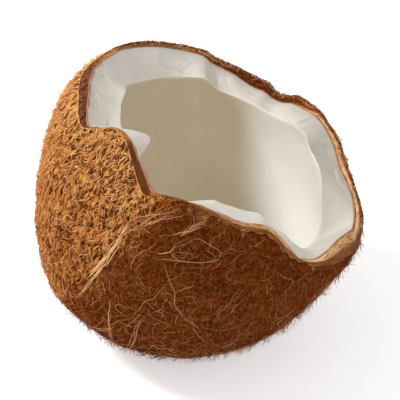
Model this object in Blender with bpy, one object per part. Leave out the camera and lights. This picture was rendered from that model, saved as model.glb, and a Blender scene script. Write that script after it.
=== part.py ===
"""Half of a ripe brown coconut, cracked open, lying on its side-bottom with the hollow facing up.

It has two solids. The shell is the hard wall with its coat of coir. The flesh is the white
kernel that lines it. Both are bowls: a UV sphere whose lower rings become the outside of the
wall and whose upper rings are pushed down inside it. Metres, +Z up. The origin is the middle
of the flat spot that the nut rests on.
"""

import math

import bmesh
import bpy
from mathutils import Matrix, Vector

# Driving dimensions, in metres and degrees
GIRTH_RADIUS = 0.057  # across the nut, outside
LONG_RADIUS = 0.0605  # along the nut's axis, outside
SHELL_WALL = 0.0050  # hard shell and coir together
SEAT_GAP = 0.0003  # between the shell and the flesh
FLESH_WALL = 0.0114
FLESH_SHIFT = 0.0016  # how much thinner the flesh is on the low side of the opening
LEAN = 35.0  # how far the opening leans towards +X
REST_CUT = 0.0016  # depth of the flat spot below the round outline

SEGMENTS = 72  # round the nut's axis
WALL_RINGS = 14  # from the pole to the broken edge
FACE_RINGS = 2  # across the broken face of the flesh

# Low swellings (+) and flats (-) of the outside: azimuth, polar angle, width, height
SWELLINGS = (
    (180, 22, 26, 0.0016),
    (300, 75, 30, -0.0006),
    (60, 70, 34, -0.0008),
)

# Broken edge of the shell, outside: azimuth round the nut's axis, polar angle from its lower end
SHELL_EDGE = (
    (0, 122), (20, 124), (40, 129), (56, 130), (66, 124), (80, 122), (96, 120), (110, 120),
    (125, 117), (140, 113), (156, 111), (172, 104), (190, 103), (200, 100), (212, 108),
    (224, 111), (233, 109), (241, 105), (250, 111), (265, 113), (284, 115), (300, 111),
    (325, 111), (338, 113), (348, 120),
)  # fmt: skip

# How much higher the shell breaks on its inside, in degrees of polar angle
SHELL_SLANT = ((0, 0), (60, 1), (120, 0), (170, 3), (200, 5), (230, 4), (250, 0), (310, 1))

# Broken edge of the flesh where it meets the cavity
FLESH_EDGE = (
    (0, 136), (15, 138), (40, 134), (55, 137), (66, 130), (90, 126), (110, 127), (130, 122),
    (145, 106), (160, 104), (180, 106), (200, 112), (214, 117), (228, 112), (242, 104),
    (256, 114), (270, 120), (288, 122), (300, 114), (315, 106), (335, 118), (348, 130),
)  # fmt: skip


def along(points, azimuth):
    """Height of a closed outline at an azimuth, by a smooth curve through its points."""
    count = len(points)
    last = max(i for i in range(count) if points[i][0] <= azimuth)
    turns = []
    for step in (-1, 0, 1, 2):
        i = last + step
        turns.append((points[i % count][0] + 360 * (i // count), points[i % count][1]))
    (a0, h0), (a1, h1), (a2, h2), (a3, h3) = turns
    width = a2 - a1
    t = (azimuth - a1) / width
    slope1 = (h2 - h0) / (a2 - a0) * width
    slope2 = (h3 - h1) / (a3 - a1) * width
    rise = (2 * t**3 - 3 * t**2 + 1) * h1 + (3 * t**2 - 2 * t**3) * h2
    return rise + (t**3 - 2 * t**2 + t) * slope1 + (t**3 - t**2) * slope2


def direction(azimuth, polar):
    """Unit vector in the nut's own frame; polar 0 is the lower end of its axis."""
    a, p = math.radians(azimuth), math.radians(polar)
    return Vector((math.sin(p) * math.cos(a), math.sin(p) * math.sin(a), -math.cos(p)))


def surface(azimuth, polar, depth):
    """Point at a depth under the nut's outside."""
    way = direction(azimuth, polar)
    radius = 1 / math.sqrt((way.x**2 + way.y**2) / GIRTH_RADIUS**2 + way.z**2 / LONG_RADIUS**2)
    for at, down, width, height in SWELLINGS:
        angle = math.degrees(way.angle(direction(at, down)))
        radius += height * math.exp(-((angle / width) ** 2))
    return way * (radius - depth)


def ring_of(vertex, rings):
    """Ring number of a unit sphere's vertex, counted from its lower pole, and its azimuth."""
    polar = math.acos(max(-1.0, min(1.0, -vertex.co.z)))
    azimuth = math.degrees(math.atan2(vertex.co.y, vertex.co.x)) % 360
    return round(polar / math.pi * rings), azimuth


def shell_outside(azimuth, polar):
    return surface(azimuth, polar, 0.0)


def shell_inside(azimuth, polar):
    return surface(azimuth, polar, SHELL_WALL)


def flesh_outside(azimuth, polar):
    return surface(azimuth, polar, SHELL_WALL + SEAT_GAP)


def flesh_inside(azimuth, polar):
    thickness = FLESH_WALL - FLESH_SHIFT * direction(azimuth, polar).x
    return surface(azimuth, polar, SHELL_WALL + SEAT_GAP + thickness)


def bowl(face_rings, outside, inside, outer_edge, inner_edge):
    """A sphere turned into a bowl: outside wall, broken face, inside wall."""
    rings = 2 * WALL_RINGS + 1 + face_rings
    mesh = bmesh.new()
    bmesh.ops.create_uvsphere(mesh, u_segments=SEGMENTS, v_segments=rings, radius=1.0)
    for vertex in mesh.verts:
        ring, azimuth = ring_of(vertex, rings)
        if ring <= WALL_RINGS:
            vertex.co = outside(azimuth, outer_edge(azimuth) * ring / WALL_RINGS)
        elif ring >= rings - WALL_RINGS:
            vertex.co = inside(azimuth, inner_edge(azimuth) * (rings - ring) / WALL_RINGS)
        else:
            share = (ring - WALL_RINGS) / (face_rings + 1)
            lower = outside(azimuth, outer_edge(azimuth))
            upper = inside(azimuth, inner_edge(azimuth))
            vertex.co = lower.lerp(upper, share)
    for face in mesh.faces:
        face.smooth = True
    return mesh


def shell_outer_edge(azimuth):
    return along(SHELL_EDGE, azimuth)


def shell_inner_edge(azimuth):
    return along(SHELL_EDGE, azimuth) + along(SHELL_SLANT, azimuth)


def flesh_outer_edge(azimuth):
    return shell_inner_edge(azimuth) + 0.5


def flesh_inner_edge(azimuth):
    return along(FLESH_EDGE, azimuth)


def lowest_height(mesh):
    return min(vertex.co.z for vertex in mesh.verts)


def cut_flat(mesh):
    """Cuts the mesh at the floor, closes it with one flat face and returns the face's middle."""
    everything = mesh.verts[:] + mesh.edges[:] + mesh.faces[:]
    cut = bmesh.ops.bisect_plane(
        mesh, geom=everything, plane_co=(0, 0, 0), plane_no=(0, 0, 1), clear_inner=True
    )
    border = [item for item in cut["geom_cut"] if isinstance(item, bmesh.types.BMEdge)]
    flat = bmesh.ops.holes_fill(mesh, edges=border)["faces"][0]
    flat.smooth = False
    return flat.calc_center_bounds()


def painted(name, colour, roughness):
    """A plain Principled material."""
    material = bpy.data.materials.new(name)
    material.use_nodes = True
    shader = material.node_tree.nodes["Principled BSDF"]
    shader.inputs["Base Color"].default_value = (*colour, 1.0)
    shader.inputs["Roughness"].default_value = roughness
    shader.inputs["Metallic"].default_value = 0.0
    return material


def add_part(collection, name, mesh, material):
    """Links a finished mesh to the scene as one named object."""
    data = bpy.data.meshes.new(name)
    bmesh.ops.recalc_face_normals(mesh, faces=mesh.faces[:])
    mesh.to_mesh(data)
    mesh.free()
    data.set_sharp_from_angle(angle=math.radians(35))
    data.materials.append(material)
    collection.objects.link(bpy.data.objects.new(name, data))


def main():
    for old in list(bpy.data.objects):
        bpy.data.objects.remove(old)
    collection = bpy.data.collections.new("half_coconut")
    bpy.context.scene.collection.children.link(collection)

    shell = bowl(0, shell_outside, shell_inside, shell_outer_edge, shell_inner_edge)
    flesh = bowl(FACE_RINGS, flesh_outside, flesh_inside, flesh_outer_edge, flesh_inner_edge)

    lean = Matrix.Rotation(math.radians(LEAN), 4, "Y")
    shell.transform(lean)
    to_floor = Matrix.Translation((0, 0, -lowest_height(shell) - REST_CUT))
    shell.transform(to_floor)
    to_middle = Matrix.Translation(-cut_flat(shell))
    shell.transform(to_middle)
    flesh.transform(to_middle @ to_floor @ lean)

    coir = painted("brown_coir_and_shell", (0.30, 0.145, 0.06), 0.9)
    kernel = painted("white_flesh", (0.86, 0.84, 0.78), 0.45)
    add_part(collection, "shell", shell, coir)
    add_part(collection, "flesh", flesh, kernel)


main()
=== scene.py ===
import math

import bpy
import numpy as np
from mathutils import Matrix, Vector, noise


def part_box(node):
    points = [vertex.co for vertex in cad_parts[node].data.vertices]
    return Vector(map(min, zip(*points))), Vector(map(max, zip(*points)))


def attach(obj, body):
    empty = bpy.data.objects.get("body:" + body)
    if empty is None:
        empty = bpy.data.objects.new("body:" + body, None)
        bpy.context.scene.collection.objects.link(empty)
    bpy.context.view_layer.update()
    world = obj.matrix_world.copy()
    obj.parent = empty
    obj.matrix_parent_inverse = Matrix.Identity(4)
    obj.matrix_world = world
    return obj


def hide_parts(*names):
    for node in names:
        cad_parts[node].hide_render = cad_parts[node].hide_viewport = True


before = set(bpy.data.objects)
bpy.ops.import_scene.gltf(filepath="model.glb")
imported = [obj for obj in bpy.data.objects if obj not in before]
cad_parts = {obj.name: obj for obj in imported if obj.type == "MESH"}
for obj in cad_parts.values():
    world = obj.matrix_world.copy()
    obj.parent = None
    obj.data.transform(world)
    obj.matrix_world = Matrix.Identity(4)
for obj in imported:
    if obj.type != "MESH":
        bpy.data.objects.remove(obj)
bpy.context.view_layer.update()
bpy.ops.object.select_all(action="DESELECT")

# The nut. Angles are in degrees: azimuth goes round its axis, polar starts at its lower end.
nut = {
    "girthRadius": 0.057,
    "longRadius": 0.0605,
    "lean": 35.0,
    "paleSide": 170,  # azimuth that the paler coir faces, roughly towards the key lamp; partly the coir's own tone, partly painted light
    "toCentre": (0.0586, 0.0568, 0.0576),  # from the low corner of the shell's box
    "swellings": (  # azimuth, polar angle, width, height
        (180, 22, 26, 0.0016), (300, 75, 30, -0.0006), (60, 70, 34, -0.0008),
        (345, 112, 13, 0.0030), (187, 58, 32, -0.0026), (200, 20, 18, 0.0014),
        (262, 38, 28, 0.0008), (172, 102, 17, 0.0018),
    ),
    "coatEdge": (  # top of the coir, outside
        (6, 123), (20, 125), (30, 129), (40, 131), (48, 132), (55, 131), (62, 129), (66, 125),
        (70, 123), (76, 124), (86, 122), (102, 119.5), (109, 120.5), (125, 117), (146, 114),
        (154, 112.5), (161, 110.5), (167, 107), (175, 104), (190, 102.5), (197, 101),
        (203, 101), (207, 104), (213, 110), (220, 111.5), (228, 109), (235, 105.8),
        (239, 104.8), (245, 109), (255, 112.5), (269, 113.8), (280, 116.4), (286, 115.4),
        (293, 112.8), (302, 111.6), (328, 110.2), (340, 113), (347, 120),
    ),
    "shellRise": (  # how much higher the shell's inner edge is
        (0, 1), (20, -1), (40, 0), (55, -2.5), (63, -3.5), (70, -2.5), (80, -4.5), (92, -2.4),
        (109, -1.5), (125, -0.5), (148, 0), (164, 3), (175, 3.5), (196, 2), (203, 0.6),
        (210, 0.3), (219, 0.4), (228, 1.2), (237, 2.4), (245, -0.5), (255, 0.2), (266, 1.4),
        (283, 2), (294, 2.3), (302, 0), (312, 0.5), (320, 3.8), (328, 7.3), (337, 6.5),
        (347, 0.5),
    ),
    "fleshEdge": (  # edge of the hollow
        (6, 136), (25, 136), (34, 139.5), (42, 138), (50, 134.5), (58, 130.5), (66, 128.3),
        (74, 126.2), (85, 122.8), (96, 119.6), (103, 121.2), (110, 122.7), (120, 118.3),
        (127, 115.3), (139, 113.2), (148, 111.8), (157, 110.8), (168, 112.2), (177, 113.6),
        (187, 111.7), (201, 109), (205, 110), (209, 113.2), (213, 116.4), (216, 117.8),
        (218.3, 117.6), (219.8, 115), (221, 108.5), (222, 104), (243, 103), (250, 110),
        (255, 114.2), (260, 117.8), (276, 120.9), (283, 122.4), (289, 120.1), (304, 117.5),
        (313, 113.2), (325, 107), (335, 104), (342, 110), (349, 123.5), (355, 133),
    ),
    "shellWall": (  # millimetres from the outside to the flesh
        (0, 3.5), (30, 3.3), (60, 2.8), (100, 2.5), (150, 2.6), (200, 2.8), (240, 3.0),
        (270, 3.3), (300, 3.6), (330, 3.8),
    ),
    "coatDepth": 0.0013,
    "hardDepth": 0.0016,
    "seedCoatWall": 0.00035,
    "fleshWall": 0.0108,
    "fleshShift": -0.0005,  # how much thinner on the low side of the opening; below 0, thicker
}

nutCentre = np.array(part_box("shell")[0]) + np.array(nut["toCentre"])
leanTurn = math.radians(nut["lean"])
nutTurn = np.array(
    [
        [math.cos(leanTurn), 0, math.sin(leanTurn)],
        [0, 1, 0],
        [-math.sin(leanTurn), 0, math.cos(leanTurn)],
    ]
)
nutAxis = nutTurn[:, 2]
paleTurn = math.radians(nut["paleSide"])
paleWay = np.array([math.cos(paleTurn), math.sin(paleTurn), 0])  # in the nut's own frame


def wayOf(azimuth, polar):  # unit vectors in the nut's own frame
    a, p = np.radians(azimuth), np.radians(polar)
    return np.stack([np.sin(p) * np.cos(a), np.sin(p) * np.sin(a), -np.cos(p)], -1)


def anglesOf(way):
    azimuth = np.degrees(np.arctan2(way[..., 1], way[..., 0])) % 360
    return azimuth, np.degrees(np.arccos(np.clip(-way[..., 2], -1, 1)))


def unit(vectors):
    return vectors / np.maximum(np.linalg.norm(vectors, axis=-1, keepdims=True), 1e-12)


def readArray(items, name, width=1, kind=float):
    values = np.empty(len(items) * width, kind)
    items.foreach_get(name, values)
    return values.reshape(-1, width) if width > 1 else values


def outerRadius(way):
    across = (way[..., 0] ** 2 + way[..., 1] ** 2) / nut["girthRadius"] ** 2
    radius = 1 / np.sqrt(across + way[..., 2] ** 2 / nut["longRadius"] ** 2)
    for at, down, width, height in nut["swellings"]:
        angle = np.degrees(np.arccos(np.clip(way @ wayOf(at, down), -1, 1)))
        radius = radius + height * np.exp(-((angle / width) ** 2))
    return radius


def placed(way, depth):  # places at a depth under the nut's outside
    return (way * (outerRadius(way) - depth)[..., None]) @ nutTurn.T + nutCentre


def outline(points, azimuth):  # a closed smooth curve through (azimuth, polar) points
    at = np.array([p[0] for p in points], float)
    height = np.array([p[1] for p in points], float)
    azimuth = np.asarray(azimuth) % 360
    last = np.searchsorted(at, azimuth, side="right") - 1
    count = len(at)
    a = [at[(last + k) % count] + 360 * ((last + k) // count) for k in (-1, 0, 1, 2)]
    h = [height[(last + k) % count] for k in (-1, 0, 1, 2)]
    width = a[2] - a[1]
    t = (azimuth - a[1]) / width
    slope1 = (h[2] - h[0]) / (a[2] - a[0]) * width
    slope2 = (h[3] - h[1]) / (a[3] - a[1]) * width
    rise = (2 * t**3 - 3 * t**2 + 1) * h[1] + (3 * t**2 - 2 * t**3) * h[2]
    return rise + (t**3 - 2 * t**2 + t) * slope1 + (t**3 - t**2) * slope2


def lumps(points, scale, octaves=3, seed=0.0):  # smooth noise from about -1 to 1
    shift = Vector((seed, seed * 1.7, -seed))
    found = [noise.fractal(Vector(p) / scale + shift, 1.0, 2.0, octaves) for p in points]
    return np.array(found)


def facets(points, size, seed=0.0):  # tilted flats, as where something brittle breaks
    shift = Vector((seed, -seed, seed * 0.5))
    found = []
    for p in points:
        spot = Vector(p) / size + shift
        nearest = noise.voronoi(spot)[1][0]
        tilt = noise.cell_vector(nearest * 7.3) - Vector((0.5, 0.5, 0.5))
        found.append(tilt.dot(spot - nearest) + 0.35 * (noise.cell(nearest * 5.1) - 0.5))
    return np.array(found)


def ragged(azimuth, size, seed):  # noise round the rim, size in degrees
    turn = np.radians(azimuth)
    ring = np.stack([np.cos(turn), np.sin(turn)], -1) * 57.3 / size  # 57.3 degrees to a radian
    ring = np.concatenate([ring, np.zeros(ring.shape[:-1] + (1,))], -1)
    return lumps(ring.reshape(-1, 3), 1.0, 3, seed).reshape(azimuth.shape)


# Shader maths: a Wire is an output socket that takes part in Python sums


class Wire:
    def __init__(self, finish, socket):
        self.finish = finish
        self.socket = socket

    def sum(self, operation, first, second=0.0):
        sockets = {0: first, 1: second}
        return self.finish.add("ShaderNodeMath", {"operation": operation}, sockets)

    def __add__(self, other):
        return self.sum("ADD", self, other)

    def __radd__(self, other):
        return self.sum("ADD", other, self)

    def __sub__(self, other):
        return self.sum("SUBTRACT", self, other)

    def __rsub__(self, other):
        return self.sum("SUBTRACT", other, self)

    def __mul__(self, other):
        return self.sum("MULTIPLY", self, other)

    def __rmul__(self, other):
        return self.sum("MULTIPLY", other, self)


class Finish:
    def __init__(self, name):
        self.material = bpy.data.materials.new(name)
        self.material.use_nodes = True
        self.tree = self.material.node_tree
        self.shader = self.tree.nodes["Principled BSDF"]

    def put(self, socket, value):
        if isinstance(value, Wire):
            self.tree.links.new(value.socket, socket)
        else:
            socket.default_value = value

    def add(self, kind, settings=None, sockets=None, output=0):
        node = self.tree.nodes.new(kind)
        for name, value in (settings or {}).items():
            if name == "stops":
                while len(node.color_ramp.elements) < len(value):
                    node.color_ramp.elements.new(0.5)
                for element, (at, colour) in zip(node.color_ramp.elements, value):
                    element.position = at
                    element.color = (*colour, 1.0)
            else:
                setattr(node, name, value)
        for name, value in (sockets or {}).items():
            self.put(node.inputs[name], value)
        return Wire(self, node.outputs[output])

    def places(self):
        return self.add("ShaderNodeTexCoord", output="Object")

    def fromMiddle(self, place):
        return self.vectorSum("SUBTRACT", place, tuple(nutCentre))

    def towards(self, centred, way):  # how far a place lies one way from the middle, in radii
        return self.vectorSum("DOT_PRODUCT", centred, tuple(np.array(way) / nut["girthRadius"]), 1)

    def noise(self, vector, scale, detail=4.0, rough=0.55, distortion=0.0):
        sockets = {"Vector": vector, "Scale": scale, "Detail": detail}
        sockets |= {"Roughness": rough, "Distortion": distortion}
        return self.add("ShaderNodeTexNoise", None, sockets)

    def ramp(self, factor, stops):
        return self.add("ShaderNodeValToRGB", {"stops": stops}, {"Fac": factor})

    def between(self, value, low, high):  # 0 below low, 1 above high, smooth on the way
        sockets = {"Value": value, "From Min": low, "From Max": high}
        return self.add("ShaderNodeMapRange", {"interpolation_type": "SMOOTHSTEP"}, sockets)

    def mix(self, factor, first, second):
        sockets = {0: factor, 6: first, 7: second}
        return self.add("ShaderNodeMix", {"data_type": "RGBA"}, sockets, 2)

    def vectorSum(self, operation, first, second, output=0):
        sockets = {0: first, 1: second}
        return self.add("ShaderNodeVectorMath", {"operation": operation}, sockets, output)

    def bump(self, height, strength, distance):
        sockets = {"Height": height, "Strength": strength, "Distance": distance}
        return self.add("ShaderNodeBump", None, sockets)

    def wear(self, **sockets):  # settings of the shader itself, by name with _ for spaces
        for name, value in sockets.items():
            self.put(self.shader.inputs[name.replace("_", " ")], value)
        return self.material


def colour(red, green, blue):
    return (red, green, blue, 1.0)


# Bowls: a sphere whose lower rings are the outside and whose upper rings are pushed inside


def addBowl(name, layer):
    outRings, faceRings, inRings = layer["rings"]
    rings = outRings + faceRings + inRings
    bpy.ops.mesh.primitive_uv_sphere_add(
        segments=layer["segments"], ring_count=rings, radius=1.0
    )
    bowl = bpy.context.object
    bowl.name = name
    mesh = bowl.data
    mesh.name = name
    mesh.uv_layers[0].name = "OFBake"
    azimuth, polar = anglesOf(unit(readArray(mesh.vertices, "co", 3)))
    ring = np.rint(polar / 180 * rings)
    outEdge, inEdge = layer["outEdge"](azimuth), layer["inEdge"](azimuth)
    outWay = wayOf(azimuth, outEdge * np.minimum(ring / outRings, 1))
    inWay = wayOf(azimuth, inEdge * np.minimum((rings - ring) / inRings, 1))
    share = np.clip((ring - outRings) / faceRings, 0, 1)  # 0 outside, 1 inside
    outPlace = placed(outWay, layer["outDepth"](outWay))
    inPlace = placed(inWay, layer["inDepth"](inWay))
    points = outPlace * (1 - share[:, None]) + inPlace * share[:, None]
    if "shape" in layer:
        points = layer["shape"](points, {"azimuth": azimuth, "ring": ring, "share": share})
    points[:, 2] = np.maximum(points[:, 2], 0.0)  # nothing goes below the floor
    mesh.vertices.foreach_set("co", points.ravel())
    mesh.update()
    bpy.ops.object.shade_smooth()
    bpy.ops.object.mode_set(mode="EDIT")
    bpy.ops.mesh.select_all(action="SELECT")
    bpy.ops.mesh.normals_make_consistent(inside=False)
    bpy.ops.object.mode_set(mode="OBJECT")
    bpy.ops.object.select_all(action="DESELECT")
    return bowl


def ringOfCorners(bowl, layer):
    return readArray(bowl.data.uv_layers["OFBake"].uv, "vector", 2)[:, 1] * sum(layer["rings"])


def paintBowl(bowl, layer, outside, face, inside):
    for material in (outside, face, inside):
        bowl.data.materials.append(material)
    outRings, faceRings, inRings = layer["rings"]
    start = readArray(bowl.data.polygons, "loop_start", kind=int)
    total = readArray(bowl.data.polygons, "loop_total", kind=int)
    up = np.add.reduceat(ringOfCorners(bowl, layer), start) / total
    slots = (up > outRings).astype(int) + (up > outRings + faceRings)
    bowl.data.polygons.foreach_set("material_index", slots)


def softenEdge(bowl, layer):  # rounds the corner between the broken face and the hollow
    edgeRing = layer["rings"][0] + layer["rings"][1]
    below, above = layer["softRings"]
    ring = np.rint(ringOfCorners(bowl, layer))
    corners = readArray(bowl.data.loops, "vertex_index", kind=int)
    near = np.unique(corners[(ring > edgeRing - below) & (ring < edgeRing + above)])
    bowl.vertex_groups.new(name="edge").add(near.tolist(), 1.0, "REPLACE")
    bpy.context.view_layer.objects.active = bowl
    smooth = bowl.modifiers.new("soften", "SMOOTH")
    smooth.vertex_group = "edge"
    smooth.factor = 0.5
    smooth.iterations = layer["softening"]
    bpy.ops.object.modifier_apply(modifier="soften")


def coatEdge(azimuth):
    return outline(nut["coatEdge"], azimuth)


def shellTop(azimuth):
    return coatEdge(azimuth) + outline(nut["shellRise"], azimuth)


def shellWall(way):
    return outline(nut["shellWall"], anglesOf(way)[0]) * 0.001


def even(depth):
    return lambda way: np.full(way.shape[:-1], depth)


# Coir coat: the matted base that the fibres lie on

coat = {
    "segments": 400,
    "rings": (170, 6, 24),  # up the outside, across the edge, down the inside
    "frayed": (0.9, 3.0),  # degrees high, degrees long
    "outDrop": 0.3,  # degrees below the top of the coir
    "inDrop": 1.0,
    "inGap": 0.0008,  # below the outside of the hard shell
    "lumps": (0.021, 0.0005),  # size, height
    "rough": (0.0016, 0.00035),
    "pits": (0.0042, 0.0009),
    "pitStart": 0.25,  # higher leaves fewer pits
    "stretch": 0.55,  # lower draws the roughness out along the nut's axis
    "sink": 0.0003,
    "deepest": 0.0008,
}


def coatLumps(points):
    size, height = coat["lumps"]
    return lumps(points, size, 3, 2.0) * height


def shapeCoat(points, zone):
    local = (points - nutCentre) @ nutTurn
    streaky = local * np.array([1, 1, coat["stretch"]])
    (roughSize, roughHeight), (pitSize, pitDepth) = coat["rough"], coat["pits"]
    pits = np.clip(lumps(streaky, pitSize, 2, 9.0) - coat["pitStart"], 0, 1)
    height = coatLumps(points) + roughHeight * lumps(streaky, roughSize, 3, 5.0) - pitDepth * pits
    height = np.maximum(height - coat["sink"], -coat["deepest"])
    held = np.where(zone["ring"] <= coat["rings"][0] + 2, 1.0, 0.0)
    return points + unit(points - nutCentre) * (height * held)[:, None]


def frayedEdge(azimuth):
    height, length = coat["frayed"]
    return coatEdge(azimuth) - coat["outDrop"] + height * ragged(azimuth, length, 3.0)


coat["outEdge"] = frayedEdge
coat["inEdge"] = lambda azimuth: coatEdge(azimuth) - coat["inDrop"]
coat["outDepth"] = even(nut["coatDepth"])
coat["inDepth"] = even(nut["hardDepth"] + coat["inGap"])
coat["shape"] = shapeCoat
coirCoat = addBowl("coirCoat", coat)
print("coir coat", len(coirCoat.data.polygons))

# Hard shell, seen where it is broken

hard = {
    "segments": 400,
    "rings": (40, 14, 30),
    "chips": (0.5, 5),  # degrees high, degrees long
    "innerChips": (0.4, 6),
    "rough": (0.0022, 0.00035),  # size, height
    "flats": (0.006, 0.0005),
    "sink": 0.0010,  # how far it goes down under the coat below the rim
    "sinkFrom": 2.0,  # degrees below the rim
    "sinkOver": 3,
    "thinnest": 0.0002,
}


def shapeHard(points, zone):
    onFace = np.clip(zone["share"] * (1 - zone["share"]) * 4, 0, 1)
    local = (points - nutCentre) @ nutTurn
    (roughSize, roughHeight), (flatSize, flatHeight) = hard["rough"], hard["flats"]
    rough = roughHeight * lumps(local, roughSize, 3, 4.0)
    rough = rough + flatHeight * facets(local, flatSize, 2.0)
    return points + np.outer(rough * onFace, nutAxis)


def hardDepth(way):
    azimuth, polar = anglesOf(way)
    sunk = np.clip((coatEdge(azimuth) - polar - hard["sinkFrom"]) / hard["sinkOver"], 0, 1)
    return np.minimum(nut["hardDepth"] + hard["sink"] * sunk, shellWall(way) - hard["thinnest"])


def chippedEdge(azimuth):
    height, length = hard["chips"]
    return coatEdge(azimuth) + height * ragged(azimuth, length, 7.0)


def chippedTop(azimuth):
    height, length = hard["innerChips"]
    return shellTop(azimuth) + height * ragged(azimuth, length, 8.0)


hard["outEdge"] = chippedEdge
hard["inEdge"] = chippedTop
hard["outDepth"] = hardDepth
hard["inDepth"] = shellWall
hard["shape"] = shapeHard
hardShell = addBowl("hardShell", hard)
print("hard shell", len(hardShell.data.polygons))

# Brown seed coat between the shell and the flesh

skin = {
    "segments": 360,
    "rings": (12, 3, 12),
    "outRise": 0.4,  # degrees above the shell's inner edge
    "inRise": 0.5,
    "wave": (0.3, 4),  # degrees high, degrees long
    "lap": 0.0001,  # into the shell
}


def skinEdge(rise):
    height, length = skin["wave"]
    return lambda azimuth: shellTop(azimuth) + rise + height * ragged(azimuth, length, 1.0)


skin["outEdge"] = skinEdge(skin["outRise"])
skin["inEdge"] = skinEdge(skin["inRise"])
skin["outDepth"] = lambda way: shellWall(way) - skin["lap"]
skin["inDepth"] = lambda way: shellWall(way) + nut["seedCoatWall"]
seedCoat = addBowl("seedCoat", skin)
print("seed coat", len(seedCoat.data.polygons))

# White flesh

flesh = {
    "segments": 420,
    "rings": (24, 46, 100),
    "outRise": 0.5,  # degrees above the shell's inner edge
    "wave": (0.5, 7.0),  # degrees high, degrees long, on the edge of the hollow
    "flats": (0.015, 0.0008),  # size, height, on the broken face
    "chips": (0.0050, 0.00016),
    "swells": (0.008, 0.0003),
    "hollowWaves": (0.02, 0.0006),
    "softening": 10,
    "softRings": (9, 5),  # rings below and above the edge of the hollow
    "thickSpot": (160, 112, 28, 0.0014),  # azimuth, polar, width in degrees, added thickness
    "ledges": (  # from azimuth, to azimuth, height
        (47, 66, 0.0009), (97, 107, -0.0009), (22, 31, -0.0010), (340, 352, -0.0005),
        (206, 220, 0.0006), (135, 150, -0.0004),
    ),
}


def fleshInnerEdge(azimuth):
    height, length = flesh["wave"]
    return outline(nut["fleshEdge"], azimuth) + height * ragged(azimuth, length, 12.0)


def cavityDepth(way):
    thickness = nut["fleshWall"] - nut["fleshShift"] * way[..., 0]
    at, down, width, extra = flesh["thickSpot"]
    angle = np.degrees(np.arccos(np.clip(way @ wayOf(at, down), -1, 1)))
    thickness = thickness + extra * np.exp(-((angle / width) ** 2))
    return shellWall(way) + nut["seedCoatWall"] + thickness


def shapeFlesh(points, zone):
    share = zone["share"]
    onFace = np.clip(share * (1 - share) * 5, 0, 1) ** 0.7
    local = (points - nutCentre) @ nutTurn
    (flatSize, flatHeight), (chipSize, chipHeight) = flesh["flats"], flesh["chips"]
    (swellSize, swellHeight), (waveSize, waveHeight) = flesh["swells"], flesh["hollowWaves"]
    broken = flatHeight * facets(local, flatSize, 3.0)
    broken += chipHeight * facets(local, chipSize, 8.0)
    broken += swellHeight * lumps(local, swellSize, 2, 6.0)
    for start, end, height in flesh["ledges"]:
        since = np.clip(zone["azimuth"] - start, 0, 1)
        until = np.clip(end - zone["azimuth"], 0, 1)
        broken += height * since * until * np.clip(share * 2, 0, 1)
    inside = np.where(share >= 1, 1.0, 0.0)
    wavy = waveHeight * lumps(local, waveSize, 2, 1.0)
    out = unit(points - nutCentre)
    return points + np.outer(broken * onFace, nutAxis) + out * (wavy * inside)[:, None]


flesh["outEdge"] = lambda azimuth: shellTop(azimuth) + flesh["outRise"]
flesh["inEdge"] = fleshInnerEdge
flesh["outDepth"] = lambda way: shellWall(way) + nut["seedCoatWall"]
flesh["inDepth"] = cavityDepth
flesh["shape"] = shapeFlesh
kernel = addBowl("kernel", flesh)
softenEdge(kernel, flesh)
print("flesh", len(kernel.data.polygons))

# Strands: a sphere primitive drawn out along each path

strandForm = {
    "flatness": 0.8,  # thickness against width
    "floorGap": 0.0001,
    "uvWidth": 0.012,
    "fibreSteps": 5,  # along a short fibre
}


def strandTemplate(sides, rings):
    bpy.ops.mesh.primitive_uv_sphere_add(segments=sides, ring_count=rings, radius=1.0)
    ball = bpy.context.object
    mesh = ball.data
    points = readArray(mesh.vertices, "co", 3)
    along = np.arccos(np.clip(points[:, 2], -1, 1)) / math.pi
    template = {
        "ring": np.rint(along * rings).astype(int),
        "turn": np.arctan2(points[:, 1], points[:, 0]),
        "girth": np.sin(along * math.pi) ** 0.5,
        "corners": readArray(mesh.loops, "vertex_index", kind=int),
        "starts": readArray(mesh.polygons, "loop_start", kind=int),
        "uv": readArray(mesh.uv_layers[0].uv, "vector", 2),
    }
    bpy.data.objects.remove(ball)
    bpy.data.meshes.remove(mesh)
    return template


def layStrands(name, template, paths, width, shade, material):
    count = len(paths)
    run = unit(np.gradient(paths, axis=1))
    out = unit(paths - nutCentre)
    side = unit(np.cross(run, out))
    out = np.cross(side, run)
    ring, turn = template["ring"], template["turn"]
    size = (width[:, None] * template["girth"])[..., None]
    across = side[:, ring] * np.cos(turn)[:, None]
    upward = out[:, ring] * strandForm["flatness"] * np.sin(turn)[:, None]
    points = paths[:, ring] + size * (across + upward)
    points[..., 2] = np.maximum(points[..., 2], strandForm["floorGap"])
    vertexCount, cornerCount = len(ring), len(template["corners"])
    corners = template["corners"] + vertexCount * np.arange(count)[:, None]
    starts = template["starts"] + cornerCount * np.arange(count)[:, None]
    uv = np.empty((count, cornerCount, 2))
    uv[..., 0] = shade[:, None] + strandForm["uvWidth"] * (template["uv"][:, 0] - 0.5)
    uv[..., 1] = template["uv"][:, 1]
    mesh = bpy.data.meshes.new(name)
    mesh.vertices.add(count * vertexCount)
    mesh.vertices.foreach_set("co", points.ravel())
    mesh.loops.add(corners.size)
    mesh.loops.foreach_set("vertex_index", corners.ravel())
    mesh.polygons.add(starts.size)
    mesh.polygons.foreach_set("loop_start", starts.ravel())
    mesh.uv_layers.new(name="OFBake").uv.foreach_set("vector", uv.clip(0, 1).ravel())
    mesh.update(calc_edges=True)
    mesh.validate()
    mesh.shade_smooth()
    mesh.materials.append(material)
    strands = bpy.data.objects.new(name, mesh)
    bpy.context.collection.objects.link(strands)
    print(name, count, "strands,", len(mesh.polygons), "faces")
    return strands


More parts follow.
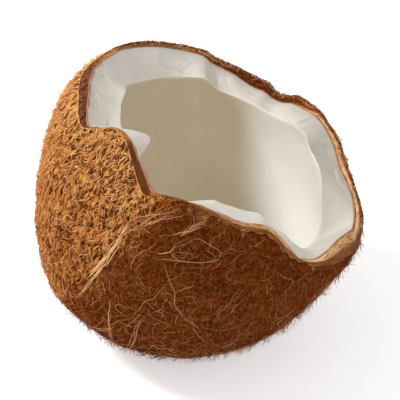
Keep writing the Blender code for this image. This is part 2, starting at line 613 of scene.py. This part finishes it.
def scatter(rng, count, margin):  # ways to places all over the outside, below the rim
    way = unit(rng.normal(size=(count * 2, 3)))
    azimuth, polar = anglesOf(way)
    way = way[polar < coatEdge(azimuth) - margin]
    return way[:count]


def crawl(way, heading, turns, stride):
    # steps over the surface; heading is measured from the line that runs up to the rim
    ways = [way]
    for turn in turns:
        up = unit(np.array([0.0, 0.0, 1.0]) - ways[-1] * ways[-1][:, 2:3])
        aside = np.cross(ways[-1], up)
        heading = heading + turn
        step = up * np.cos(heading)[:, None] + aside * np.sin(heading)[:, None]
        ways.append(unit(ways[-1] + step * (stride / nut["girthRadius"])[:, None]))
    return np.stack(ways, 1)


paleArea = {
    "from": 0.16,  # how far towards the pale side it starts, in radii
    "to": 0.36,
    "wander": 0.10,
    "wanderSize": 0.016,
}


def paleShare(way):  # 1 on the paler side of the nut, 0 on the darker side
    side = way @ paleWay
    place = placed(way, np.zeros(way.shape[:-1])).reshape(-1, 3)
    waves = lumps(place, paleArea["wanderSize"], 2, 4.0).reshape(side.shape)
    side = side + paleArea["wander"] * waves
    return np.clip((side - paleArea["from"]) / (paleArea["to"] - paleArea["from"]), 0, 1)


def keepBelowRim(ways, margin=0.6):
    azimuth, polar = anglesOf(ways)
    return wayOf(azimuth, np.minimum(polar, coatEdge(azimuth) - margin))


def liftOff(ways, height):  # places at a height over the lumpy coat, lower near the rim
    flat = placed(ways, -height)
    lump = coatLumps(flat.reshape(-1, 3)).reshape(height.shape)
    azimuth, polar = anglesOf(ways)
    height = height * np.clip((coatEdge(azimuth) - polar) / 3, 0.15, 1)
    return placed(ways, nut["coatDepth"] - height - lump)


fibreTones = {  # colours from the darkest fibre to the palest
    "coirTuft": (
        (0.0, (0.045, 0.007, 0.001)), (0.25, (0.185, 0.037, 0.004)),
        (0.5, (0.460, 0.134, 0.025)), (0.75, (0.870, 0.360, 0.090)),
        (1.0, (0.980, 0.565, 0.205)),
    ),
    "coirHair": (
        (0.0, (0.050, 0.012, 0.003)), (0.25, (0.150, 0.042, 0.011)),
        (0.5, (0.380, 0.145, 0.058)), (0.75, (0.760, 0.420, 0.180)),
        (1.0, (0.930, 0.660, 0.360)),
    ),
}

coirShades = {  # places along those colours, from 0 to 1
    "dark": 0.27,
    "pale": 0.45,  # added on the pale side: partly the coir's own tone, partly painted light
    "rimwardPaintedLight": 0.20,  # painted light, added there towards the rim
    "paintedLightFrom": (80, 25),  # polar angle where that starts, and degrees until it is full
    "patch": 0.08,
    "patchSize": 0.010,
    "low": 0.13,  # painted shade, taken off near the floor
    "paintedShadeHeight": 0.045,
    "tuftLimits": (0.03, 0.94),
    "hairLimits": (0.1, 0.97),
}


def strandFinish(name, rootPaintedShade):
    f = Finish(name)
    uv = f.add("ShaderNodeUVMap", {"uv_map": "OFBake"})
    across = f.add("ShaderNodeSeparateXYZ", None, {0: uv}, "X")
    along = f.add("ShaderNodeSeparateXYZ", None, {0: uv}, "Y")
    base = f.ramp(across, fibreTones[name])
    # painted shade: the root end of each fibre, down in the felt, is mixed towards dark brown
    root = f.between(along, 0.42, 0.98) * rootPaintedShade
    base = f.mix(root, base, colour(0.050, 0.012, 0.003))
    ends = f.between(along * (1 - along), 0.0, 0.10)
    shown = f.mix(ends, colour(0.10, 0.035, 0.012), base)
    return f.wear(Base_Color=shown, Roughness=0.75, Specular_IOR_Level=0.06)


coirHair = strandFinish("coirHair", 0.0)
coirTuft = strandFinish("coirTuft", 0.62)


def layHairs(name, sides, rings, paths, width, shade):
    template = strandTemplate(sides, rings)
    shade = shade.clip(*coirShades["hairLimits"])
    return layStrands(name, template, paths, width, shade, coirHair)


# Matting and tufts: short fibres that cover the coat

matting = {
    "pieces": 2,
    "perPiece": 8000,
    "seed": 60,
    "stride": (0.0005, 0.0012),
    "width": (0.00010, 0.00020),
    "stray": 0.4,
    "patchTurn": 0.6,  # how far a whole patch turns
    "wander": 0.22,
    "height": 0.0003,
    "uneven": 0.00012,
    "shadeSpread": 0.06,
}

tufts = {
    "pieces": 4,
    "perPiece": 2850,
    "seed": 100,
    "fibres": 3,
    "stride": (0.0003, 0.00078),
    "width": (0.00008, 0.00014),
    "spread": 0.00028,  # across a tuft
    "lift": (0.0002, 0.0014),  # of the tips
    "low": (-0.0001, 0.0004),  # height of the roots
    "uneven": 0.00010,
    "stray": 0.24,  # how far a tuft turns from the line down to the stem end
    "patchTurn": 0.4,
    "downward": 0.7,  # share of the tufts
    "curl": 0.12,
    "gather": 0.38,  # how far its tips come together
    "pits": (0.0034, 0.30),  # size, and the limit above which nothing grows
    "shadeSpread": (0.08, 0.05),  # between tufts, within a tuft
    "heightToneAndShade": 170,  # how much paler a fibre gets for each metre it stands up: partly sun-bleached tips, partly painted shade on the low fibres
}


def coirShade(way, patch):  # painted light paler towards the rim on the pale side, painted shade darker near the floor
    start, full = coirShades["paintedLightFrom"]
    # painted light: paler towards the rim on the pale side
    rimwardPaintedLight = np.clip((anglesOf(way)[1] - start) / full, -1, 1)
    # painted shade: darker the nearer the floor
    low = np.clip(1 - placed(way, np.zeros(len(way)))[:, 2] / coirShades["paintedShadeHeight"], 0, 1)
    paleToneAndLight = (coirShades["pale"] + coirShades["rimwardPaintedLight"] * rimwardPaintedLight) * paleShare(way)
    return coirShades["dark"] + paleToneAndLight + coirShades["patch"] * patch - coirShades["low"] * low


def patchOf(way):
    return lumps(placed(way, np.zeros(len(way))), coirShades["patchSize"], 2, 3.0)


def growMatting(name, seed, template):
    rng = np.random.default_rng(seed)
    way = scatter(rng, matting["perPiece"], 0.5)
    count, steps = len(way), strandForm["fibreSteps"]
    patch = patchOf(way)
    heading = rng.normal(0, matting["stray"], count) + matting["patchTurn"] * patch
    pale = paleShare(way)
    curly = 2.2 - 1.2 * pale  # more on the dark side
    turns = [rng.normal(0, matting["wander"], count) * curly for _ in range(steps)]
    stride = rng.uniform(*matting["stride"], count)
    ways = keepBelowRim(crawl(way, heading, turns, stride))
    height = rng.uniform(-matting["height"], matting["height"], count)[:, None]
    height = height + rng.normal(0, matting["uneven"], (count, steps + 1))
    thinner = 0.6 + 0.4 * pale  # on the dark side
    width = rng.uniform(*matting["width"], count) * thinner
    # painted shade: the matting under the tufts is 0.02 darker
    shade = coirShade(way, patch) - 0.02 + rng.normal(0, matting["shadeSpread"], count) * thinner
    shade = shade.clip(*coirShades["tuftLimits"])
    return layStrands(name, template, liftOff(ways, height), width, shade, coirTuft)


def growTufts(name, seed, template):
    rng = np.random.default_rng(seed)
    way = scatter(rng, tufts["perPiece"], 0.5)
    pitSize, pitLimit = tufts["pits"]
    pits = lumps(placed(way, np.zeros(len(way))) * np.array([1, 1, 0.6]), pitSize, 2, 14.0)
    way = way[pits < pitLimit]
    count, steps = len(way), strandForm["fibreSteps"]
    patch = patchOf(way)
    heading = rng.normal(0, tufts["stray"], count) + tufts["patchTurn"] * patch
    heading += math.pi * (rng.uniform(size=count) < tufts["downward"])
    between, within = tufts["shadeSpread"]
    tuftShade = rng.normal(0, between, count) * (0.8 + 0.2 * paleShare(way))
    tuftShade = coirShade(way, patch) + tuftShade
    lift = rng.uniform(*tufts["lift"], count)
    low = rng.uniform(*tufts["low"], count)
    curl = rng.normal(0, tufts["curl"], count)
    pick = np.repeat(np.arange(count), tufts["fibres"])
    total = len(pick)
    pale = paleShare(way)[pick]
    shift = rng.normal(0, tufts["spread"], (total, 3)) / nut["girthRadius"]
    start = unit(way[pick] + shift)
    wander = 0.16 + 0.30 * (1 - pale)
    turns = [curl[pick] + rng.normal(0, wander) for _ in range(steps)]
    length = rng.uniform(*tufts["stride"], count)
    stride = length[pick] * rng.uniform(0.75, 1.1, total)
    middle = crawl(way, heading, [curl] * steps, length)[pick]
    heading = heading[pick] + rng.normal(0, 0.15, total)
    ways = crawl(start, heading, turns, stride)
    along = np.linspace(0, 1, steps + 1)
    pull = (tufts["gather"] * along * pale[:, None])[..., None]
    ways = keepBelowRim(unit(ways * (1 - pull) + middle * pull))
    rise = (lift[pick] * (0.40 + 0.60 * pale))[:, None] * along**1.3
    height = low[pick][:, None] + rise + rng.normal(0, tufts["uneven"], (total, steps + 1))
    width = rng.uniform(*tufts["width"], total) * (0.66 + 0.34 * pale)
    shade = tuftShade[pick] + rng.normal(0, within, total)
    # partly painted shade: fibres that stand lower are darker
    shade = shade + tufts["heightToneAndShade"] * (height.mean(1) - 0.0004)
    shade = shade.clip(*coirShades["tuftLimits"])
    return layStrands(name, template, liftOff(ways, height), width, shade, coirTuft)


fibreTemplate = strandTemplate(3, strandForm["fibreSteps"])
tuftPieces = []
for n in range(matting["pieces"]):
    tuftPieces.append(growMatting(f"coirMatting{n + 1}", matting["seed"] + n, fibreTemplate))
for n in range(tufts["pieces"]):
    tuftPieces.append(growTufts(f"coirTufts{n + 1}", tufts["seed"] + n, fibreTemplate))

# Loose curly strands over the felt, mostly on the darker side

loose = {
    "count": 800,
    "rings": 18,
    "width": (0.00004, 0.00008),
    "stride": (0.0002, 0.0009),
    "onPale": 0.6,  # share of them that grows on the pale side
    "stray": 0.9,
    "swirl": 0.13,
    "wave": (0.15, 0.5),
    "pace": (0.4, 1.2),  # of the wave, in radians a step
    "height": (0.0004, 0.0011),
    "ripple": 0.0003,  # up and down along a strand
    "tuck": 0.0006,  # how far the ends go down
    "shade": (0.52, 0.10),
    "paleToneAndLight": 0.28,  # on the pale side: partly their own tone, partly painted light
}


def growLoose():
    rng = np.random.default_rng(7)
    way = scatter(rng, loose["count"] * 3, 3.0)
    growing = loose["onPale"] + (1 - loose["onPale"]) * (1 - paleShare(way))
    way = way[rng.uniform(size=len(way)) < growing][: loose["count"]]
    count, rings = len(way), loose["rings"]
    stride = rng.uniform(*loose["stride"], count)
    heading = rng.normal(0, loose["stray"], count) + math.pi * rng.integers(0, 2, count)
    swirl = rng.normal(0, loose["swirl"], count)
    wave = rng.uniform(*loose["wave"], count)
    phase = rng.uniform(0, 6.28, count)
    pace = rng.uniform(*loose["pace"], count)
    turns = [swirl + wave * np.cos(phase + pace * k) for k in range(rings)]
    ways = keepBelowRim(crawl(way, heading, turns, stride), 1.5)
    along = np.linspace(0, 1, rings + 1)
    height = rng.uniform(*loose["height"], count)[:, None]
    height = height + loose["ripple"] * np.sin(along * math.pi * 3 + phase[:, None])
    height -= loose["tuck"] * (np.abs(along * 2 - 1) ** 6)
    width = rng.uniform(*loose["width"], count)
    shade = rng.normal(*loose["shade"], count) + loose["paleToneAndLight"] * paleShare(way)
    return layHairs("looseStrands", 3, rings, liftOff(ways, height), width, shade)


looseStrands = growLoose()

# Stray hairs that stand off the coat and make its outline fuzzy

hairs = {
    "count": 4800,
    "rings": 6,
    "width": (0.00005, 0.00012),
    "reach": (0.0008, 0.0030),
    "stride": (0.0003, 0.0009),
    "height": 0.0004,
    "stray": 0.9,
    "wander": 0.25,
    "shade": (0.35, 0.10),
    # on the pale side: partly their own tone, partly painted light
    "paleToneAndLight": 0.28,
}


def growHairs():
    rng = np.random.default_rng(21)
    way = scatter(rng, hairs["count"], 0.5)
    count, rings = len(way), hairs["rings"]
    stride = rng.uniform(*hairs["stride"], count)
    heading = rng.normal(math.pi, hairs["stray"], count)
    turns = [rng.normal(0, hairs["wander"], count) for _ in range(rings)]
    ways = keepBelowRim(crawl(way, heading, turns, stride))
    along = np.linspace(0, 1, rings + 1)
    reach = rng.uniform(*hairs["reach"], count) * (1 - 0.5 * paleShare(way))
    height = hairs["height"] + reach[:, None] * along**1.3
    width = rng.uniform(*hairs["width"], count)
    shade = rng.normal(*hairs["shade"], count) + hairs["paleToneAndLight"] * paleShare(way)
    return layHairs("strayHairs", 3, rings, liftOff(ways, height), width, shade)


strayHairs = growHairs()

# Long strands and bundles, each through given (azimuth, polar) points

longStrands = {
    "rings": 30,
    "height": 0.0010,
    "ripple": 0.0003,
    "heap": 0.0006,  # within a bundle
    "tuck": 0.0010,  # how far the ends go down
    "kink": 0.00012,
    "shorten": 0.25,  # most that a strand of a bundle is cut at each end
    "shadeSpread": (0.02, 0.07),  # single strands, bundles
    "paths": (
        # radius, shade, number of strands side by side, spread, points
        (0.00014, 0.80, 8, 0.0011, ((241, 97), (242, 90), (242.7, 82), (242.5, 74), (241.5, 62))),
        (0.00012, 0.72, 4, 0.0005, ((242.5, 84), (242.7, 75), (242, 64), (240.7, 51))),
        (0.00008, 0.60, 3, 0.0012, ((249, 110), (246, 102), (243, 95), (241, 88))),
        (0.00009, 0.60, 3, 0.0012, ((252, 112), (247, 105), (243, 99), (239, 92))),
        (0.00008, 0.56, 3, 0.0014, ((254, 111), (248, 104), (245, 97), (243, 92))),
        (0.00013, 0.56, 3, 0.0007, ((250, 72), (253, 65), (258, 54), (267, 42), (275, 34))),
        (0.00010, 0.62, 2, 0.0004, ((250, 40), (255, 45), (259, 53), (260, 60))),
        (0.00009, 0.54, 1, 0.0, ((263, 56), (263, 65), (263, 70))),
        (0.00010, 0.54, 1, 0.0, ((262, 64), (261, 75), (262, 79), (262, 86))),
        (0.00017, 0.46, 3, 0.0005, ((264, 73), (266, 63), (270, 53), (280, 35))),
        (
            0.00010, 0.55, 1, 0.0,
            ((255, 88), (255, 91), (257, 93), (262, 96), (267, 99), (270, 102), (270, 104),
             (269, 105), (265, 105), (262, 105), (260, 104), (259, 101), (257, 98), (256, 96)),
        ),
        (
            0.00011, 0.54, 1, 0.0,
            ((256, 92), (259, 90), (262, 88), (266, 85), (269, 81), (274, 78), (280, 76),
             (286, 73)),
        ),
        (0.00010, 0.54, 1, 0.0, ((266, 85), (267, 87), (269, 90), (270, 91))),
        (0.00009, 0.52, 2, 0.0005, ((250, 81), (249, 88), (251, 93), (251, 97))),
        (0.00012, 0.64, 1, 0.0, ((253, 92), (256, 95), (257, 99))),
        (0.00009, 0.62, 4, 0.0006, ((262, 112), (259, 110), (257, 107), (256, 103), (254, 99))),
        (0.00009, 0.60, 3, 0.0006, ((262, 111), (259, 108), (257, 105), (255, 102), (253, 99))),
        (0.00009, 0.50, 1, 0.0, ((285, 79), (283, 84), (283, 89), (284, 93), (285, 97))),
        (0.00011, 0.54, 1, 0.0, ((287, 86), (286, 89), (287, 92))),
        (0.00010, 0.52, 1, 0.0, ((278, 100), (278, 98), (276, 99), (276, 102))),
        (0.00012, 0.52, 1, 0.0, ((278, 77), (283, 73), (292, 69))),
    ),
}


def throughPoints(points, count):  # evenly spaced points on a smooth curve
    points = np.asarray(points, float)
    ends = np.vstack([2 * points[0] - points[1], points, 2 * points[-1] - points[-2]])
    fine = []
    for k in range(1, len(ends) - 2):
        t = np.linspace(0, 1, 20, endpoint=k == len(ends) - 3)[:, None]
        a, b, c, d = ends[k - 1 : k + 3]
        fine.append(
            0.5 * (2 * b + (c - a) * t + (2 * a - 5 * b + 4 * c - d) * t**2)
            + 0.5 * (3 * b - a - 3 * c + d) * t**3
        )
    fine = np.vstack(fine)
    length = np.insert(np.cumsum(np.linalg.norm(np.diff(fine, axis=0), axis=1)), 0, 0)
    at = np.linspace(0, length[-1], count)
    return np.stack([np.interp(at, length, fine[:, k]) for k in range(3)], 1)


def growLong():
    rng = np.random.default_rng(3)
    rings = longStrands["rings"]
    single, bundled = longStrands["shadeSpread"]
    paths, widths, shades = [], [], []
    along = np.linspace(0, 1, rings + 1)
    for radius, shade, many, spread, points in longStrands["paths"]:
        middle = wayOf(np.array([p[0] for p in points]), np.array([p[1] for p in points]))
        for _ in range(many):
            start, end = rng.uniform(0, longStrands["shorten"], 2) * (many > 1)
            centre = throughPoints(middle, rings * 2 + 1)
            first, last = int(start * rings * 2), int((1 - end) * rings * 2)
            centre = throughPoints(centre[first : last + 1], rings + 1)
            side = np.cross(unit(np.gradient(centre, axis=0)), unit(centre))
            off = rng.normal(0, 0.5) * spread + spread * 0.4 * np.sin(
                along * rng.uniform(2, 7) + rng.uniform(0, 6)
            )
            kink = np.sin(along * rng.uniform(12, 30) + rng.uniform(0, 6))
            off = off + longStrands["kink"] * kink
            way = unit(centre + side * (off / nut["girthRadius"])[:, None])
            ripple = np.sin(along * rng.uniform(3, 9) + rng.uniform(0, 6))
            height = longStrands["height"] + longStrands["ripple"] * ripple
            height = height + rng.uniform(0, longStrands["heap"]) * (many > 1)
            height -= longStrands["tuck"] * np.abs(along * 2 - 1) ** 8
            paths.append(liftOff(way[None], height[None])[0])
            widths.append(radius * rng.uniform(0.6, 1.0) if many > 1 else radius)
            shades.append(shade + rng.normal(0, bundled if many > 1 else single))
    widths, shades = np.array(widths), np.array(shades)
    return layHairs("longStrands", 5, rings, np.array(paths), widths, shades)


longPiece = growLong()

# Fibres that run along the broken edge of the shell

rim = {
    "count": 3800,
    "rings": 8,
    "width": (0.00007, 0.00017),
    "bare": (156, 246),  # degrees between which the broken shell is smooth
    "reach": (2, 8),  # degrees round the rim
    "drift": 0.10,  # across it
    "lift": 0.0004,
    "shade": 0.30,
    "shadeSpread": 0.09,
    "inner": 0.20,  # paler towards the inside
    "innerRight": 0.34,
    "near": 0.10,
}


def growRim():
    rng = np.random.default_rng(11)
    rings = rim["rings"]
    azimuth = rng.uniform(0, 360, rim["count"])
    azimuth = azimuth[(azimuth < rim["bare"][0]) | (azimuth > rim["bare"][1])]
    count = len(azimuth)
    reach = rng.uniform(*rim["reach"], count) * rng.choice([-1, 1], count)
    along = np.linspace(0, 1, rings + 1)
    at = azimuth[:, None] + reach[:, None] * along
    first = rng.uniform(0.0, 0.95, count)
    share = first[:, None] + rng.normal(0, rim["drift"], count)[:, None] * along
    share = np.clip(share, 0, 0.97)[..., None]
    highWay = wayOf(at, shellTop(at))
    low = placed(wayOf(at, coatEdge(at)), np.full(at.shape, nut["coatDepth"] - 0.0004))
    high = placed(highWay, shellWall(highWay))
    lift = rng.uniform(0.0, rim["lift"], count)[:, None] * np.sin(along * math.pi)
    paths = low * (1 - share) + high * share + (lift + 0.0001)[..., None] * nutAxis
    width = rng.uniform(*rim["width"], count)
    right = np.clip(np.cos(np.radians(azimuth + 8)) * 1.4, 0, 1)
    inner = np.clip((first - 0.40) * 5, 0, 1)
    near = np.clip(-np.sin(np.radians(azimuth)) * 1.4, 0, 1)
    shade = rim["shade"] + rim["inner"] * inner + rim["innerRight"] * inner * right
    shade = shade + rim["near"] * near + rng.normal(0, rim["shadeSpread"], count)
    return layHairs("rimFibres", 3, rings, paths, width, shade)


rimFibres = growRim()

# Torn tufts on the far part of the rim

fray = {
    "count": 2100,
    "rings": 6,
    "width": (0.00008, 0.00018),
    "span": (12, 150),  # degrees round the rim
    "thinAfter": 95,  # degrees from which it stands lower
    "below": 2.5,  # degrees below the rim
    "clumps": (5.0, -0.15),  # size in degrees, and the limit under which nothing grows
    "reach": 0.0016,
    "stride": (0.0002, 0.0005),
    "depth": (0.0006, 0.0024),
    "stray": 1.1,
    "wander": 0.35,
    "shade": (0.50, 0.09),
}


def growFray():
    rng = np.random.default_rng(31)
    rings = fray["rings"]
    azimuth = rng.uniform(*fray["span"], fray["count"])
    clumpSize, clumpLimit = fray["clumps"]
    clump = ragged(azimuth, clumpSize, 17.0)
    azimuth, clump = azimuth[clump > clumpLimit], clump[clump > clumpLimit]
    count = len(azimuth)
    thin = azimuth > fray["thinAfter"]
    way = wayOf(azimuth, coatEdge(azimuth) - rng.uniform(0, fray["below"], count))
    heading = rng.normal(0, fray["stray"], count)
    turns = [rng.normal(0, fray["wander"], count) for _ in range(rings)]
    ways = crawl(way, heading, turns, rng.uniform(*fray["stride"], count))
    along = np.linspace(0, 1, rings + 1)
    reach = rng.uniform(-0.3, 1, count) * fray["reach"] * (0.5 + clump) * np.where(thin, 0.4, 1.0)
    depth = rng.uniform(*fray["depth"], count)
    paths = placed(ways, depth[:, None] - reach[:, None] * along)
    width = rng.uniform(*fray["width"], count)
    shade = rng.normal(*fray["shade"], count) + 0.12 * clump + 0.12 * thin
    return layHairs("rimFray", 3, rings, paths, width, shade)


rimFray = growFray()

# Finishes


def coatFinish():
    f = Finish("coirMat")
    place = f.places()
    side = f.towards(f.fromMiddle(place), nutTurn @ paleWay)
    side = side + 0.2 * (f.noise(place, 60.0, 2.0) - 0.5)
    pale = f.between(side, paleArea["from"], paleArea["to"])
    grain = f.noise(place, 900.0, 4.0, 0.7, 0.6)
    patch = f.noise(place, 160.0, 3.0)
    darkSide = f.ramp(grain, ((0.40, (0.055, 0.010, 0.001)), (0.62, (0.280, 0.066, 0.010))))
    paleSide = f.ramp(grain, ((0.40, (0.045, 0.010, 0.003)), (0.65, (0.230, 0.068, 0.015))))
    shown = f.mix(pale, darkSide, paleSide)
    shown = f.mix(f.between(patch, 0.55, 0.8) * 0.5, shown, colour(0.060, 0.015, 0.010))
    bump = f.bump(grain, 0.9, 0.0008)
    return f.wear(Base_Color=shown, Roughness=0.95, Specular_IOR_Level=0.0, Normal=bump)


def brokenShellFinish():
    f = Finish("brokenShell")
    place = f.places()
    centred = f.fromMiddle(place)
    right = f.towards(centred, (1, 0, 0))
    near = f.towards(centred, (0, -1, 0))
    far = f.towards(centred, (0, 1, 0))
    grain = f.noise(place, 1000.0, 5.0, 0.65, 0.8)
    mottle = f.noise(place, 420.0, 3.0, 0.6)
    dark = f.ramp(grain, ((0.42, (0.035, 0.009, 0.003)), (0.60, (0.270, 0.085, 0.028))))
    warm = f.ramp(grain, ((0.38, (0.250, 0.070, 0.018)), (0.62, (0.760, 0.310, 0.095))))
    torn = f.between(right, 0.20, 0.32) * (1 - f.between(right, 0.60, 0.72))
    torn = torn * f.between(far, 0.50, 0.65)
    warmShare = f.between(right, -0.62, -0.50) * (1 - torn)
    spots = f.between(mottle, 0.52, 0.66) * (1 - warmShare * 0.75)
    shown = f.mix(spots * 0.75, f.mix(warmShare, dark, warm), colour(0.040, 0.010, 0.004))
    bare = f.between(near, 0.55, 0.62) * (1 - f.between(right, -0.245, -0.215))
    shown = f.mix(bare, shown, colour(0.125, 0.040, 0.010))
    bump = f.bump(grain + mottle * 1.5, 0.8, 0.0007)
    return f.wear(Base_Color=shown, Roughness=0.7, Specular_IOR_Level=0.12, Normal=bump)


def seedCoatFinish():
    f = Finish("seedCoatBrown")
    grain = f.noise(f.places(), 800.0, 3.0)
    shown = f.ramp(grain, ((0.3, (0.260, 0.080, 0.035)), (0.75, (0.560, 0.250, 0.130))))
    return f.wear(Base_Color=shown, Roughness=0.5)


def fleshFinish(name, deep):
    f = Finish(name)
    place = f.places()
    centred = f.fromMiddle(place)
    right = f.towards(centred, (1, 0, 0))
    soft = f.noise(place, 70.0, 4.0, 0.5)
    fine = f.noise(place, 1500.0, 3.0, 0.6)
    mid = f.noise(place, 420.0, 4.0, 0.6, 0.4)
    if deep:
        # painted shade and light: a darker cream on the hollow's left, in the rim's shadow, and
        # whiter on the right wall, where the key lamp falls
        paintedShadeCream = f.ramp(soft, ((0.4, (0.680, 0.590, 0.435)), (0.6, (0.708, 0.620, 0.468))))
        shown = f.mix(f.between(right, 0.24, 0.50), paintedShadeCream, colour(0.785, 0.770, 0.725))
        bump = f.bump(mid * 0.6 + fine * 0.2, 0.12, 0.0004)
    else:
        shown = f.ramp(soft, ((0.3, (0.620, 0.575, 0.505)), (0.7, (0.680, 0.638, 0.575))))
        # painted shade: the broken face is darkened towards its right and left sides
        left = f.towards(centred, (-1, 0, 0))
        side = f.between(right, 0.50, 0.80) * 0.9 + f.between(left, 0.40, 0.56)
        shown = f.mix(side, shown, colour(0.520, 0.475, 0.415))
        bump = f.bump(mid + fine * 0.35, 0.22, 0.0005)
    f.shader.subsurface_method = "RANDOM_WALK"
    return f.wear(
        Base_Color=shown,
        Roughness=0.42 if deep else 0.5,
        Specular_IOR_Level=0.4,
        Subsurface_Weight=0.55,
        Subsurface_Radius=(1.0, 0.85, 0.6),
        Subsurface_Scale=0.003,
        Normal=bump,
    )


coirMat = coatFinish()
brokenShell = brokenShellFinish()
seedBrown = seedCoatFinish()
fleshBroken = fleshFinish("fleshBroken", False)
fleshSmooth = fleshFinish("fleshSmooth", True)
paintBowl(coirCoat, coat, coirMat, coirMat, coirMat)
paintBowl(hardShell, hard, brokenShell, brokenShell, brokenShell)
paintBowl(seedCoat, skin, seedBrown, seedBrown, seedBrown)
paintBowl(kernel, flesh, fleshBroken, fleshBroken, fleshSmooth)
print("finishes")

# The frame: what rides, what stands for what

shellPieces = [coirCoat, hardShell, seedCoat, *tuftPieces]
shellPieces += [looseStrands, strayHairs, longPiece, rimFibres, rimFray]
for piece in (*shellPieces, kernel):
    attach(piece, "root")
for piece in shellPieces:
    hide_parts("shell")
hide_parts("flesh")

# Floor, light and camera

studio = {
    "floorSize": 8.0,
    "key": {"at": (-0.74, -0.05, 1.00), "size": 0.34, "power": 12.5},
    "fill": {"at": (0.5, -1.1, 0.7), "size": 1.2, "power": 5.0},
    "world": 0.53,
    "cameraHeight": 32.0,  # degrees above level
    "cameraReach": 0.3889,
    "lens": 100.0,
    "aim": (0.0017, -0.0029),  # right and up from the nut's centre
}

bpy.ops.mesh.primitive_plane_add(size=studio["floorSize"], location=(0, 0, 0))
floor = bpy.context.object
floor.name = "studioFloor"
paleFloor = Finish("paleFloor")
floor.data.materials.append(
    paleFloor.wear(
        Base_Color=colour(0.9, 0.9, 0.9),
        Roughness=0.9,
        Specular_IOR_Level=0.0,
        Emission_Color=colour(1, 1, 1),
        Emission_Strength=0.45,
    )
)


def addLamp(name, lamp):
    bpy.ops.object.light_add(type="AREA", location=lamp["at"])
    light = bpy.context.object
    light.name = name
    light.data.shape = "DISK"
    light.data.size = lamp["size"]
    light.data.energy = lamp["power"]
    toNut = Vector(nutCentre) - Vector(lamp["at"])
    light.rotation_euler = toNut.to_track_quat("-Z", "Y").to_euler()


addLamp("keyLamp", studio["key"])
addLamp("fillLamp", studio["fill"])
world = bpy.data.worlds.new("studioWorld")
bpy.context.scene.world = world
world.use_nodes = True
world.node_tree.nodes["Background"].inputs["Color"].default_value = (1, 1, 1, 1)
world.node_tree.nodes["Background"].inputs["Strength"].default_value = studio["world"]
bpy.context.scene.view_settings.view_transform = "Standard"

tilt = math.radians(studio["cameraHeight"])
upward = Vector((0, math.sin(tilt), math.cos(tilt)))
backward = Vector((0, -math.cos(tilt), math.sin(tilt)))
aim = Vector(nutCentre) + studio["aim"][0] * Vector((1, 0, 0)) + studio["aim"][1] * upward
bpy.ops.object.camera_add(location=aim + studio["cameraReach"] * backward)
camera = bpy.context.object
camera.rotation_euler = (math.pi / 2 - tilt, 0, 0)
camera.data.lens = studio["lens"]
camera.data.sensor_width = 36.0
camera.data.clip_start = 0.01
bpy.context.scene.camera = camera
print("studio")
